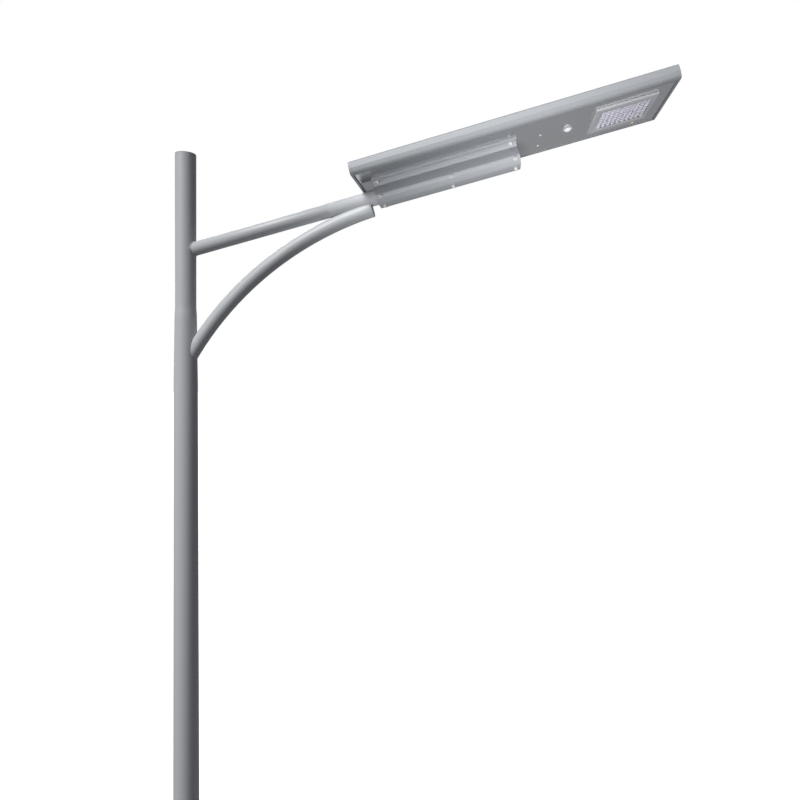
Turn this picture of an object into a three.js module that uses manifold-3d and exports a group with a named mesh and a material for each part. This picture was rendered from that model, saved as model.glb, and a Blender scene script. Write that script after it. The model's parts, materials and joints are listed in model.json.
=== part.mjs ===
// Solar street lamp: a tapered steel pole with a flanged base, a tilted arm with a curved
// brace, and an all-in-one head that slides over the arm's spigot and is clamped there.
// Millimetres, +Z up. The origin is the middle of the base flange's underside, the pole's
// axis is Z, and the arm and the head reach out along +X.
import * as THREE from 'three';
import { mergeVertices } from 'three/addons/utils/BufferGeometryUtils.js';
import Module from 'manifold-3d';

const wasm = await Module();
wasm.setup();

// ---- driving dimensions ----
const GAP = 0.3; // clearance between touching pieces

const POLE_HEIGHT = 4000;
const POLE_BASE_D = 113;
const POLE_TAPER_END = { z: 3070, d: 94.4 }; // the long taper ends here
const POLE_SHOULDER = { z: 3365, d: 85.5 }; // the short cone under the top tube ends here
const POLE_TOP_TUBE = { z: 3387, d: 82 };
const POLE_WALL = 3.5;
const CAP_THICKNESS = 3;

const FLANGE_SIDE = 300;
const FLANGE_THICKNESS = 18;
const FLANGE_CORNER_R = 22;
const ANCHOR_SPACING = 210;
const ANCHOR_HOLE_R = 12;
const GUSSET = { reach: 82, height: 170, thickness: 8, toe: 12 };

const ARM_TILT = THREE.MathUtils.degToRad(14.3);
const ARM_AXIS_Z = 3613; // where the arm's axis meets the pole's axis
const ARM_D = 55;
const ARM_WALL = 2.7;
const ARM_LENGTH = 700;
const SPIGOT_D = 60;
const SPIGOT_START = 620; // along the arm's axis from the pole's axis
const BRACE_D = 57;
const BRACE_WALL = 3;
const BRACE_CENTRE = { x: 1158, z: 2487 }; // centre of the brace's bend
const BRACE_BEND_R = 1337;
const BRACE_END_X = 768;

const HEAD_START = 756; // head's pole-side end, along the arm's axis
const HEAD_LENGTH = 1150;
const HEAD_WIDTH = 365;
const HEAD_TOP = 45.5; // above the underside of the bottom panel
const HEAD_LIP = 2.5; // the side profiles' lips reach this far below the panel
const PANEL_THICKNESS = 3;
const CAP_PLATE = 9;
const SHADOW_GAP = 4; // open line between the end cap and the bottom panel

const SOCKET_DEPTH = 49; // arm axis below the panel's underside
const SOCKET_BORE_R = 33;
const SLEEVE = { inner: 30.3, outer: 32.4, slit: 4 };
const CLAMP = { start: 58, end: 604, bottom: 87 };
const CLAMP_BOLT = { along: [76, 582], across: 50, r: 4 };
const SET_SCREW_ALONG = [78, 348, 586];
const SET_SCREW_R = 4;
const SIDE_SCREW_ANGLE = THREE.MathUtils.degToRad(20.2); // below the horizontal
const SIDE_SCREW_SEAT = 62.5; // from the socket's axis to the seat

const LED = { start: 882, end: 1097, half: 111, height: 8 };
const LED_WINDOW = { start: 909, end: 1081, half: 75 };
const SENSOR = { along: 797, domeR: 15, domeHeight: 11, ringR: 20, ringHeight: 3 };
const STATUS_LENS = { along: 1058, across: 136, r: 7 };
const CONTROLLER_SCREWS = [{ along: 696, across: -14 }, { along: 694, across: 92 }];

const GLASS = { bottom: 40, top: 43.2 };
const LEDGE_TOP = 36.5;

// ---- materials ----
function metal(color, roughness, metalness) {
  return new THREE.MeshStandardMaterial({ color, roughness, metalness });
}
const POLE_PAINT = metal(0x9da0a4, 0.42, 0.35);
const PROFILE_ALUMINIUM = metal(0xadb1b7, 0.38, 0.75);
const PANEL_ALUMINIUM = metal(0x8b8b8f, 0.22, 0.9);
const CLAMP_ALUMINIUM = metal(0x9aa0a8, 0.34, 0.75);
const STEEL = metal(0xc9c9c7, 0.25, 1);
const GLASS_CLEAR = metal(0x20283a, 0.05, 0);
const CELL_BLUE = metal(0x101c3c, 0.3, 0.1);
const WHITE_SHEET = metal(0xe6e7e8, 0.6, 0);
const RUBBER = metal(0x1b1b1c, 0.8, 0);
const LENS_CLEAR = metal(0xd9d6e6, 0.2, 0);
const BOARD_WHITE = metal(0xe9e9ec, 0.5, 0);
const BOARD_GREEN = metal(0x1f5a38, 0.5, 0);
const DOME_WHITE = metal(0xeef1f4, 0.4, 0);
const SLEEVE_GREY = metal(0x83868a, 0.5, 0.6);
const BATTERY_BLUE = metal(0x2458a8, 0.45, 0);
const STRAP_STEEL = metal(0xb4b6b8, 0.35, 0.9);
const CABLE_BLACK = metal(0x151515, 0.6, 0);
const CONTROLLER_BLACK = metal(0x2a2c30, 0.55, 0.2);
const AMBER_LENS = metal(0xd8c8a8, 0.3, 0);

// ---- solids ----
function toSolid(geometry) {
  const bare = geometry.clone();
  bare.deleteAttribute('normal');
  bare.deleteAttribute('uv');
  const merged = mergeVertices(bare, 1e-3);
  return new wasm.Manifold(new wasm.Mesh({
    numProp: 3,
    vertProperties: new Float32Array(merged.attributes.position.array),
    triVerts: new Uint32Array(merged.index.array),
  }));
}

function toGeometry(solid) {
  const mesh = solid.getMesh();
  const geometry = new THREE.BufferGeometry();
  geometry.setAttribute('position', new THREE.BufferAttribute(new Float32Array(mesh.vertProperties), 3));
  geometry.setIndex(new THREE.BufferAttribute(new Uint32Array(mesh.triVerts), 1));
  geometry.computeVertexNormals();
  return geometry;
}

function cut(geometry, cutters) {
  let solid = toSolid(geometry);
  for (const cutter of cutters) {
    solid = solid.subtract(toSolid(cutter));
  }
  return toGeometry(solid);
}

function join(geometries) {
  let solid = toSolid(geometries[0]);
  for (const other of geometries.slice(1)) {
    solid = solid.add(toSolid(other));
  }
  return toGeometry(solid);
}

// An upright rod between two heights, its centre line at (x, y).
function rod(r, bottom, top, x = 0, y = 0, sides = 16) {
  const geometry = new THREE.CylinderGeometry(r, r, top - bottom, sides);
  geometry.rotateX(Math.PI / 2);
  return geometry.translate(x, y, (top + bottom) / 2);
}

// A rod along X.
function rodAlongX(r, start, end, y = 0, z = 0, sides = 48) {
  const geometry = new THREE.CylinderGeometry(r, r, end - start, sides);
  geometry.rotateZ(-Math.PI / 2);
  return geometry.translate((start + end) / 2, y, z);
}

function box(x0, x1, y0, y1, z0, z1) {
  const geometry = new THREE.BoxGeometry(x1 - x0, y1 - y0, z1 - z0);
  return geometry.translate((x0 + x1) / 2, (y0 + y1) / 2, (z0 + z1) / 2);
}

// A profile drawn in (across, up) and extruded along X.
function alongX(shape, start, end, curveSegments = 16) {
  const geometry = new THREE.ExtrudeGeometry(shape, {
    depth: end - start, bevelEnabled: false, curveSegments,
  });
  geometry.rotateX(Math.PI / 2);
  geometry.rotateZ(Math.PI / 2);
  return geometry.translate(start, 0, 0);
}

// A closed outline, turned counterclockwise so that its holes are cut the right way round.
function outline(points) {
  const corners = points.map(([x, y]) => new THREE.Vector2(x, y));
  return new THREE.Shape(THREE.ShapeUtils.isClockWise(corners) ? corners.reverse() : corners);
}

function ringShape(outerR, innerR) {
  const shape = new THREE.Shape().absarc(0, 0, outerR, 0, 2 * Math.PI);
  shape.holes.push(new THREE.Path().absarc(0, 0, innerR, 0, 2 * Math.PI));
  return shape;
}

function roundedPlate(halfX, halfY, r) {
  const shape = new THREE.Shape();
  shape.moveTo(-halfX + r, -halfY);
  shape.lineTo(halfX - r, -halfY);
  shape.absarc(halfX - r, -halfY + r, r, -Math.PI / 2, 0);
  shape.lineTo(halfX, halfY - r);
  shape.absarc(halfX - r, halfY - r, r, 0, Math.PI / 2);
  shape.lineTo(-halfX + r, halfY);
  shape.absarc(-halfX + r, halfY - r, r, Math.PI / 2, Math.PI);
  shape.lineTo(-halfX, -halfY + r);
  shape.absarc(-halfX + r, -halfY + r, r, Math.PI, 1.5 * Math.PI);
  return shape;
}

function lathe(points, segments) {
  const geometry = new THREE.LatheGeometry(points.map(([r, z]) => new THREE.Vector2(r, z)), segments);
  return geometry.rotateX(Math.PI / 2);
}

function place(parent, name, geometry, material) {
  const mesh = new THREE.Mesh(geometry, material);
  mesh.name = name;
  parent.add(mesh);
  return mesh;
}

// ---- frames ----
const lamp = new THREE.Group();

const armFrame = new THREE.Group(); // +X runs along the arm's axis from the pole's axis
armFrame.position.z = ARM_AXIS_Z;
armFrame.rotation.y = -ARM_TILT;
lamp.add(armFrame);
armFrame.updateMatrix();
const toArmFrame = armFrame.matrix.clone().invert();

const head = new THREE.Group(); // z = 0 is the underside of the bottom panel
head.position.set(HEAD_START, 0, SOCKET_DEPTH);
armFrame.add(head);

// ---- pole ----
function poleShaft() {
  const bottom = FLANGE_THICKNESS + GAP;
  const top = POLE_HEIGHT - CAP_THICKNESS - GAP;
  const outer = [
    [POLE_BASE_D / 2, bottom],
    [POLE_TAPER_END.d / 2, POLE_TAPER_END.z],
    [POLE_SHOULDER.d / 2, POLE_SHOULDER.z],
    [POLE_TOP_TUBE.d / 2, POLE_TOP_TUBE.z],
    [POLE_TOP_TUBE.d / 2, top],
  ];
  const inner = outer.map(([r, z]) => [r - POLE_WALL, z]).reverse();
  return lathe([...outer, ...inner, outer[0]], 48);
}

function poleTopCap() {
  const plugR = POLE_TOP_TUBE.d / 2 - POLE_WALL - GAP;
  const seat = POLE_HEIGHT - CAP_THICKNESS;
  return lathe([
    [0, seat - 14], [plugR - 1.5, seat - 14], [plugR, seat - 12], [plugR, seat],
    [POLE_TOP_TUBE.d / 2, seat], [POLE_TOP_TUBE.d / 2, POLE_HEIGHT - 1],
    [POLE_TOP_TUBE.d / 2 - 1, POLE_HEIGHT], [0, POLE_HEIGHT],
  ], 48);
}

function baseFlange() {
  const half = FLANGE_SIDE / 2;
  const shape = roundedPlate(half, half, FLANGE_CORNER_R);
  for (const x of [-1, 1]) {
    for (const y of [-1, 1]) {
      shape.holes.push(new THREE.Path().absarc(
        x * ANCHOR_SPACING / 2, y * ANCHOR_SPACING / 2, ANCHOR_HOLE_R, 0, 2 * Math.PI,
      ));
    }
  }
  return new THREE.ExtrudeGeometry(shape, {
    depth: FLANGE_THICKNESS, bevelEnabled: false, curveSegments: 8,
  });
}

function baseGusset() {
  const inner = POLE_BASE_D / 2 + GAP + 0.3;
  const foot = FLANGE_THICKNESS + GAP;
  const shape = outline([
    [inner, foot + 14], [inner + 14, foot], [inner + GUSSET.reach, foot],
    [inner + GUSSET.reach, foot + GUSSET.toe],
    [inner + GUSSET.toe, foot + GUSSET.height], [inner, foot + GUSSET.height],
  ]);
  const geometry = new THREE.ExtrudeGeometry(shape, { depth: GUSSET.thickness, bevelEnabled: false });
  geometry.translate(0, 0, -GUSSET.thickness / 2);
  return geometry.rotateX(Math.PI / 2);
}

place(lamp, 'pole_shaft', poleShaft(), POLE_PAINT);
place(lamp, 'pole_top_cap', poleTopCap(), POLE_PAINT);
place(lamp, 'base_flange', baseFlange(), POLE_PAINT);
for (let i = 0; i < 4; i += 1) {
  place(lamp, `base_gusset_${i + 1}`, baseGusset(), POLE_PAINT).rotation.z = i * Math.PI / 2;
}

// ---- arm, spigot and brace ----
function poleCutter() {
  return rod(POLE_TOP_TUBE.d / 2 + GAP, POLE_TOP_TUBE.z, POLE_HEIGHT, 0, 0, 48);
}

function armTube() {
  const tube = alongX(ringShape(ARM_D / 2, ARM_D / 2 - ARM_WALL), 8, ARM_LENGTH);
  return cut(tube, [poleCutter().applyMatrix4(toArmFrame)]);
}

function lampSpigot() {
  return alongX(ringShape(SPIGOT_D / 2, ARM_D / 2 + GAP), SPIGOT_START, HEAD_START + CLAMP.end - 6);
}

// A point of the brace's centre line for an angle measured from straight up.
class BraceBend extends THREE.Curve {
  constructor(startAngle, endAngle) {
    super();
    this.startAngle = startAngle;
    this.endAngle = endAngle;
  }

  getPoint(t, target = new THREE.Vector3()) {
    const angle = this.startAngle + t * (this.endAngle - this.startAngle);
    return target.set(
      BRACE_CENTRE.x - BRACE_BEND_R * Math.sin(angle), 0,
      BRACE_CENTRE.z + BRACE_BEND_R * Math.cos(angle),
    );
  }
}

const BRACE_END_ANGLE = Math.asin((BRACE_CENTRE.x - BRACE_END_X) / BRACE_BEND_R);
const BRACE_START_ANGLE = Math.asin((BRACE_CENTRE.x - 12) / BRACE_BEND_R);

function armClearance() {
  const thin = rodAlongX(ARM_D / 2 + GAP, 0, SPIGOT_START, 0, 0, 48);
  const thick = rodAlongX(SPIGOT_D / 2 + GAP, SPIGOT_START - 1, SPIGOT_START + 400, 0, 0, 48);
  return [thin, thick].map((geometry) => geometry.applyMatrix4(armFrame.matrix));
}

function braceCutters() {
  const cone = lathe([
    [0, POLE_TAPER_END.z], [POLE_TAPER_END.d / 2 + GAP, POLE_TAPER_END.z],
    [POLE_SHOULDER.d / 2 + GAP, POLE_SHOULDER.z], [POLE_TOP_TUBE.d / 2 + GAP, POLE_TOP_TUBE.z],
    [POLE_TOP_TUBE.d / 2 + GAP, POLE_HEIGHT], [0, POLE_HEIGHT],
  ], 48);
  return [cone, ...armClearance()];
}

function armBrace() {
  const tube = new THREE.ExtrudeGeometry(ringShape(BRACE_D / 2, BRACE_D / 2 - BRACE_WALL), {
    steps: 22,
    curveSegments: 12,
    extrudePath: new BraceBend(BRACE_START_ANGLE, BRACE_END_ANGLE),
  });
  return cut(tube, braceCutters());
}

function braceEndCap() {
  const end = new BraceBend(BRACE_END_ANGLE, 0).getPoint(0);
  const disc = rodAlongX(BRACE_D / 2, GAP, GAP + 2.5, 0, 0, 24);
  disc.rotateY(-BRACE_END_ANGLE);
  disc.translate(end.x, 0, end.z);
  return cut(disc, armClearance());
}

place(armFrame, 'arm_tube', armTube(), POLE_PAINT);
place(armFrame, 'lamp_spigot', lampSpigot(), POLE_PAINT);
place(lamp, 'arm_brace', armBrace(), POLE_PAINT);
place(lamp, 'brace_end_cap', braceEndCap(), POLE_PAINT);

// ---- split sleeve between the spigot and the head's socket ----
function socketSleeve() {
  const half = SLEEVE.slit / 2;
  const open = Math.asin(half / SLEEVE.outer);
  const openIn = Math.asin(half / SLEEVE.inner);
  const top = Math.PI / 2;
  const shape = new THREE.Shape();
  shape.absarc(0, 0, SLEEVE.outer, top + open, top + 2 * Math.PI - open);
  shape.lineTo(half, Math.sqrt(SLEEVE.inner ** 2 - half ** 2));
  shape.absarc(0, 0, SLEEVE.inner, top - openIn + 2 * Math.PI, top + openIn, true);
  return alongX(shape, HEAD_START + CLAMP.start + 3, HEAD_START + CLAMP.end - 3, 48);
}
place(armFrame, 'socket_sleeve', socketSleeve(), SLEEVE_GREY);

// ---- clamp extrusion under the head ----
// Half of its section as (across, below the panel), from the middle of the top round to the
// middle of the underside: ribbed plate edge, bolt groove, neck, flank, screw facet, sole.
const CLAMP_HALF = [
  [72, 0.3], [72, 2.2], [70.8, 2.9], [72, 3.6], [72, 5], [70.8, 5.7], [72, 6.4], [72, 8.4],
  [58.5, 8.4], [58.5, 5.4], [41.5, 5.4], [41.5, 8.4], [35, 8.4], [33, 10.5], [33, 16.5],
  [31, 18], [31, 19.6], [33.5, 21], [62, 60], [62, 61.2], [60.6, 62], [61.6, 63.2],
  [57, 75], [34, 86], [30, 87],
];
const CLAMP_CAVITY = [[40, 39.5], [55, 60], [52, 71.5], [40, 77.5]];

function sideScrewMatrix(along, side) {
  // Maps +X to the screw's outward axis, with the origin on the socket's axis.
  const matrix = new THREE.Matrix4().makeTranslation(along, 0, -SOCKET_DEPTH);
  matrix.multiply(new THREE.Matrix4().makeRotationZ(side * Math.PI / 2));
  return matrix.multiply(new THREE.Matrix4().makeRotationY(SIDE_SCREW_ANGLE));
}

function underScrewMatrix(along) {
  const matrix = new THREE.Matrix4().makeTranslation(along, 0, -SOCKET_DEPTH);
  return matrix.multiply(new THREE.Matrix4().makeRotationY(Math.PI / 2));
}

function clampExtrusion() {
  const right = CLAMP_HALF.map(([across, below]) => [across, -below]);
  const left = right.map(([across, up]) => [-across, up]).reverse();
  const shape = outline([...right, ...left]);
  shape.holes.push(new THREE.Path().absarc(0, -SOCKET_DEPTH, SOCKET_BORE_R, 0, 2 * Math.PI));
  for (const side of [-1, 1]) {
    shape.holes.push(new THREE.Path(
      CLAMP_CAVITY.map(([across, below]) => new THREE.Vector2(side * across, -below)),
    ));
  }
  const cutters = [];
  const hole = SET_SCREW_R + GAP;
  for (const along of SET_SCREW_ALONG) {
    for (const side of [-1, 1]) {
      cutters.push(rodAlongX(hole, 28, 74, 0, 0, 12).applyMatrix4(sideScrewMatrix(along, side)));
    }
    cutters.push(rodAlongX(hole, 28, 50, 0, 0, 12).applyMatrix4(underScrewMatrix(along)));
  }
  for (const along of CLAMP_BOLT.along) {
    for (const side of [-1, 1]) {
      cutters.push(rod(CLAMP_BOLT.r + GAP, -12, 4, along, side * CLAMP_BOLT.across, 12));
    }
  }
  return cut(alongX(shape, CLAMP.start, CLAMP.end, 20), cutters);
}

// Socket-head screw along +X: tip at `tip`, underside of the head at `seat`.
function socketScrew(tip, seat) {
  const geometry = lathe([
    [0, tip], [2.6, tip], [SET_SCREW_R, tip + 1.5], [SET_SCREW_R, seat], [6.5, seat],
    [6.5, seat + 7.4], [5.9, seat + 8], [3.2, seat + 8], [3.2, seat + 4.5], [0, seat + 4.5],
  ], 12);
  return geometry.rotateY(Math.PI / 2);
}

// Hex bolt under the clamp's groove, its shank reaching up through the bottom panel.
function clampBolt(along, across) {
  const seat = -(5.4 + GAP);
  const geometry = lathe([
    [0, seat - 13], [2.8, seat - 13], [3.4, seat - 12], [3.4, seat - 10], [6.4, seat - 10],
    [6.4, seat - 3], [8, seat - 3], [8, seat], [CLAMP_BOLT.r, seat], [CLAMP_BOLT.r, 12],
    [3.2, 13], [0, 13],
  ], 12);
  return geometry.translate(along, across, 0);
}

place(head, 'clamp_extrusion', clampExtrusion(), CLAMP_ALUMINIUM);
let boltNumber = 0;
for (const along of CLAMP_BOLT.along) {
  for (const side of [-1, 1]) {
    boltNumber += 1;
    place(head, `clamp_bolt_${boltNumber}`, clampBolt(along, side * CLAMP_BOLT.across), STEEL);
  }
}
SET_SCREW_ALONG.forEach((along, i) => {
  const tip = SOCKET_BORE_R - 0.1;
  const sideScrew = () => socketScrew(tip, SIDE_SCREW_SEAT + GAP);
  place(head, `side_screw_near_${i + 1}`, sideScrew().applyMatrix4(sideScrewMatrix(along, -1)), STEEL);
  place(head, `side_screw_far_${i + 1}`, sideScrew().applyMatrix4(sideScrewMatrix(along, 1)), STEEL);
  const underSeat = CLAMP.bottom - SOCKET_DEPTH + GAP;
  place(head, `under_screw_${i + 1}`, socketScrew(tip, underSeat).applyMatrix4(underScrewMatrix(along)), STEEL);
});

// ---- housing ----
const HALF = HEAD_WIDTH / 2;
const LIP_EDGE = 160; // inner edge of the side profiles' lips
// Side profile as (across, up): lower lip, convex outer wall with a crease, upper lip, ledge.
const SIDE_OUTER = [
  [LIP_EDGE, -HEAD_LIP], [171, -HEAD_LIP], [176, -1.2], [179.6, 2], [181.3, 6],
  [HALF, 17], [HALF, 20], [181.6, 31], [179.4, 39], [176.6, 43.4], [172.5, HEAD_TOP],
  [LIP_EDGE, HEAD_TOP],
];
const SIDE_INNER = [
  [LIP_EDGE, HEAD_TOP - 2], [173.6, HEAD_TOP - 2], [175.8, 41], [176.9, LEDGE_TOP],
  [LIP_EDGE, LEDGE_TOP], [LIP_EDGE, LEDGE_TOP - 2], [178, LEDGE_TOP - 2], [179.8, 20],
  [179.8, 16], [178.6, 7], [176, 3], [172.4, -GAP], [LIP_EDGE, -GAP],
];

function sideProfile(side) {
  const points = [...SIDE_OUTER, ...SIDE_INNER].map(([across, up]) => [side * across, up]);
  return alongX(outline(points), CAP_PLATE + GAP, HEAD_LENGTH - CAP_PLATE - GAP);
}

function capShape() {
  const right = SIDE_OUTER.slice(1, -1);
  const left = right.map(([across, up]) => [-across, up]).reverse();
  return outline([...right, ...left]);
}

// The plate closes the housing's end, and a tongue behind it backs the shadow gap.
function endCap(plateStart, plateEnd, tongueStart, tongueEnd, screwHoles) {
  const plate = alongX(capShape(), plateStart, plateEnd);
  const tongue = box(tongueStart, tongueEnd, -155, 155, PANEL_THICKNESS + GAP, PANEL_THICKNESS + 2.3);
  return cut(join([plate, tongue]), screwHoles);
}

const CAP_SCREW = { across: 120, up: 20, r: 2.1 };

function capScrewHole(start, end, side) {
  return rodAlongX(CAP_SCREW.r + GAP, start, end, side * CAP_SCREW.across, CAP_SCREW.up, 12);
}

// Pan-head screw with its head outside the plate; `out` is -1 on the pole side.
function capScrew(face, out, side) {
  const geometry = lathe([
    [0, -7.5], [CAP_SCREW.r, -7.5], [CAP_SCREW.r, GAP], [4.2, GAP], [4.2, 1.6], [2.6, 3], [0, 3],
  ], 12);
  geometry.rotateY(out * Math.PI / 2);
  return geometry.translate(face, side * CAP_SCREW.across, CAP_SCREW.up);
}

function bottomPanel() {
  const start = CAP_PLATE + SHADOW_GAP;
  const end = HEAD_LENGTH - CAP_PLATE - SHADOW_GAP;
  const top = PANEL_THICKNESS;
  const plate = box(start, end, -170, 170, 0, top);
  const cutters = [box(900, 1089, -86, 86, -1, top + 1), rod(9, -1, top + 1, SENSOR.along, 0)];
  for (const along of CLAMP_BOLT.along) {
    for (const side of [-1, 1]) {
      cutters.push(rod(CLAMP_BOLT.r + GAP, -1, top + 1, along, side * CLAMP_BOLT.across, 12));
    }
  }
  for (const { along, across } of CONTROLLER_SCREWS) {
    cutters.push(rod(2.3, -1, top + 1, along, across, 12));
  }
  cutters.push(rod(4, -1, top + 1, STATUS_LENS.along, STATUS_LENS.across, 12));
  return cut(plate, cutters);
}

place(head, 'side_profile_near', sideProfile(-1), PROFILE_ALUMINIUM);
place(head, 'side_profile_far', sideProfile(1), PROFILE_ALUMINIUM);
place(head, 'end_cap_pole_side', endCap(
  0, CAP_PLATE, CAP_PLATE - 1, CAP_PLATE + 16,
  [-1, 1].map((side) => capScrewHole(-1, CAP_PLATE + 1, side)),
), PROFILE_ALUMINIUM);
place(head, 'end_cap_lamp_side', endCap(
  HEAD_LENGTH - CAP_PLATE, HEAD_LENGTH, HEAD_LENGTH - CAP_PLATE - 16, HEAD_LENGTH - CAP_PLATE + 1,
  [-1, 1].map((side) => capScrewHole(HEAD_LENGTH - CAP_PLATE - 1, HEAD_LENGTH + 1, side)),
), PROFILE_ALUMINIUM);
[-1, 1].forEach((side, i) => {
  place(head, `end_cap_screw_${i + 1}`, capScrew(0, -1, side), STEEL);
  place(head, `end_cap_screw_${i + 3}`, capScrew(HEAD_LENGTH, 1, side), STEEL);
});
place(head, 'bottom_panel', bottomPanel(), PANEL_ALUMINIUM);

// ---- solar module on top ----
const MODULE = { start: CAP_PLATE + 1, end: HEAD_LENGTH - CAP_PLATE - 1, half: 172 };
const CELL_AREA = { start: 20, end: HEAD_LENGTH - 20, half: 157 };

function glassGasket() {
  const midX = (MODULE.start + MODULE.end) / 2;
  const halfX = (MODULE.end - MODULE.start) / 2;
  const shape = outline([[-halfX, -MODULE.half], [halfX, -MODULE.half], [halfX, MODULE.half], [-halfX, MODULE.half]]);
  const holeX = halfX - 9;
  const holeY = MODULE.half - 13;
  shape.holes.push(new THREE.Path([
    new THREE.Vector2(-holeX, -holeY), new THREE.Vector2(-holeX, holeY),
    new THREE.Vector2(holeX, holeY), new THREE.Vector2(holeX, -holeY),
  ]));
  const depth = GLASS.bottom - LEDGE_TOP - 2 * GAP;
  const geometry = new THREE.ExtrudeGeometry(shape, { depth, bevelEnabled: false });
  return geometry.translate(midX, 0, LEDGE_TOP + GAP);
}

place(head, 'glass_gasket', glassGasket(), RUBBER);
place(head, 'solar_glass', box(
  MODULE.start, MODULE.end, -MODULE.half, MODULE.half, GLASS.bottom, GLASS.top,
), GLASS_CLEAR);
place(head, 'solar_cell_sheet', box(
  CELL_AREA.start, CELL_AREA.end, -CELL_AREA.half, CELL_AREA.half, GLASS.bottom - 1.2, GLASS.bottom - GAP,
), CELL_BLUE);
place(head, 'solar_back_tray', box(
  CELL_AREA.start, CELL_AREA.end, -CELL_AREA.half, CELL_AREA.half, GLASS.bottom - 3, GLASS.bottom - 1.5,
), WHITE_SHEET);

// ---- lamp module ----
// Raised frame: outer walls lean in towards the face, and the window is cut through it.
function ledBezel() {
  const lean = 3;
  const midX = (LED.start + LED.end) / 2;
  const halfX = (LED.end - LED.start) / 2;
  const corners = (z, inset) => [
    [-halfX + inset, -LED.half + inset, z], [halfX - inset, -LED.half + inset, z],
    [halfX - inset, LED.half - inset, z], [-halfX + inset, LED.half - inset, z],
  ].flat();
  const geometry = new THREE.BufferGeometry();
  const position = new Float32Array([...corners(-LED.height, lean), ...corners(-GAP, 0)]);
  geometry.setAttribute('position', new THREE.BufferAttribute(position, 3));
  geometry.setIndex([
    0, 2, 1, 0, 3, 2, 4, 5, 6, 4, 6, 7,
    0, 1, 5, 0, 5, 4, 1, 2, 6, 1, 6, 5, 2, 3, 7, 2, 7, 6, 3, 0, 4, 3, 4, 7,
  ]);
  geometry.translate(midX, 0, 0);
  const window = box(
    LED_WINDOW.start, LED_WINDOW.end, -LED_WINDOW.half, LED_WINDOW.half, -LED.height - 1, 1,
  );
  const rebate = box(
    LED_WINDOW.start - 7, LED_WINDOW.end + 7, -LED_WINDOW.half - 7, LED_WINDOW.half + 7, -LED.height + 2, 1,
  );
  return cut(geometry, [window, rebate]);
}

function ledHeatSink() {
  const base = PANEL_THICKNESS + GAP;
  const points = [[-95, base], [95, base]];
  const fins = 12;
  const pitch = 190 / (fins - 0.5);
  for (let i = 0; i < fins; i += 1) {
    const right = 95 - i * pitch;
    const left = right - pitch / 2;
    points.push([right, 30], [left, 30]);
    if (i < fins - 1) {
      points.push([left, base + 5], [left - pitch / 2, base + 5]);
    }
  }
  return alongX(outline(points), 894, 1095);
}

const LENS_PLATE_DEPTH = 3.4; // its back face below the panel's underside
place(head, 'led_bezel', ledBezel(), PANEL_ALUMINIUM);
place(head, 'led_lens_plate', box(
  LED_WINDOW.start - 6, LED_WINDOW.end + 6, -LED_WINDOW.half - 6, LED_WINDOW.half + 6,
  -LED.height + 2 + GAP, -LENS_PLATE_DEPTH,
), LENS_CLEAR);
place(head, 'led_board', box(
  LED_WINDOW.start - 5, LED_WINDOW.end + 5, -LED_WINDOW.half - 5, LED_WINDOW.half + 5,
  -LENS_PLATE_DEPTH + GAP, PANEL_THICKNESS,
), BOARD_WHITE);
place(head, 'led_heat_sink', ledHeatSink(), PROFILE_ALUMINIUM);

// ---- motion sensor and small items on the panel ----
function sensorRing() {
  const inner = SENSOR.domeR + GAP;
  return lathe([
    [inner, -GAP], [inner, -SENSOR.ringHeight], [SENSOR.ringR - 1.5, -SENSOR.ringHeight],
    [SENSOR.ringR, -SENSOR.ringHeight + 1.5], [SENSOR.ringR, -GAP], [inner, -GAP],
  ], 24).translate(SENSOR.along, 0, 0);
}

function sensorDome() {
  const points = [[0, -SENSOR.domeHeight]];
  for (let i = 1; i <= 5; i += 1) {
    const angle = i * Math.PI / 10;
    points.push([SENSOR.domeR * Math.sin(angle), -1 - (SENSOR.domeHeight - 1) * Math.cos(angle)]);
  }
  points.push([SENSOR.domeR, -GAP], [7, -GAP], [7, PANEL_THICKNESS + 4], [0, PANEL_THICKNESS + 4]);
  return lathe(points, 24).translate(SENSOR.along, 0, 0);
}

// Flat-headed screw pointing up, its head under the panel.
function panelScrew(along, across) {
  return lathe([
    [0, -3], [3, -3], [4.2, -1.8], [4.2, -GAP], [2, -GAP], [2, PANEL_THICKNESS + 3], [0, PANEL_THICKNESS + 3],
  ], 12).translate(along, across, 0);
}

function statusLens() {
  const { r, along, across } = STATUS_LENS;
  return lathe([
    [0, -3.4], [r * 0.6, -2.8], [r, -1.2], [r, -GAP], [3.6, -GAP], [3.6, PANEL_THICKNESS + 2],
    [0, PANEL_THICKNESS + 2],
  ], 16).translate(along, across, 0);
}

place(head, 'sensor_ring', sensorRing(), DOME_WHITE);
place(head, 'sensor_dome', sensorDome(), DOME_WHITE);
place(head, 'sensor_board', box(
  SENSOR.along - 16, SENSOR.along + 16, -13, 13, PANEL_THICKNESS + 5, PANEL_THICKNESS + 6.6,
), BOARD_GREEN);
CONTROLLER_SCREWS.forEach(({ along, across }, i) => {
  place(head, `controller_screw_${i + 1}`, panelScrew(along, across), STEEL);
});
place(head, 'status_lens', statusLens(), AMBER_LENS);

// ---- battery, controller and cables inside ----
const BATTERY = { start: 110, end: 565, inner: 6, outer: 146, bottom: 8, top: 32 };
const CONTROLLER = { start: 668, end: 740, half: 120, top: 28 };

function batteryPack(side) {
  const halfY = (BATTERY.outer - BATTERY.inner) / 2;
  const halfZ = (BATTERY.top - BATTERY.bottom) / 2;
  const shape = roundedPlate(halfY, halfZ, 9);
  const geometry = alongX(shape, BATTERY.start, BATTERY.end, 4);
  const across = side * (BATTERY.inner + BATTERY.outer) / 2;
  return geometry.translate(0, across, (BATTERY.top + BATTERY.bottom) / 2);
}

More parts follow.
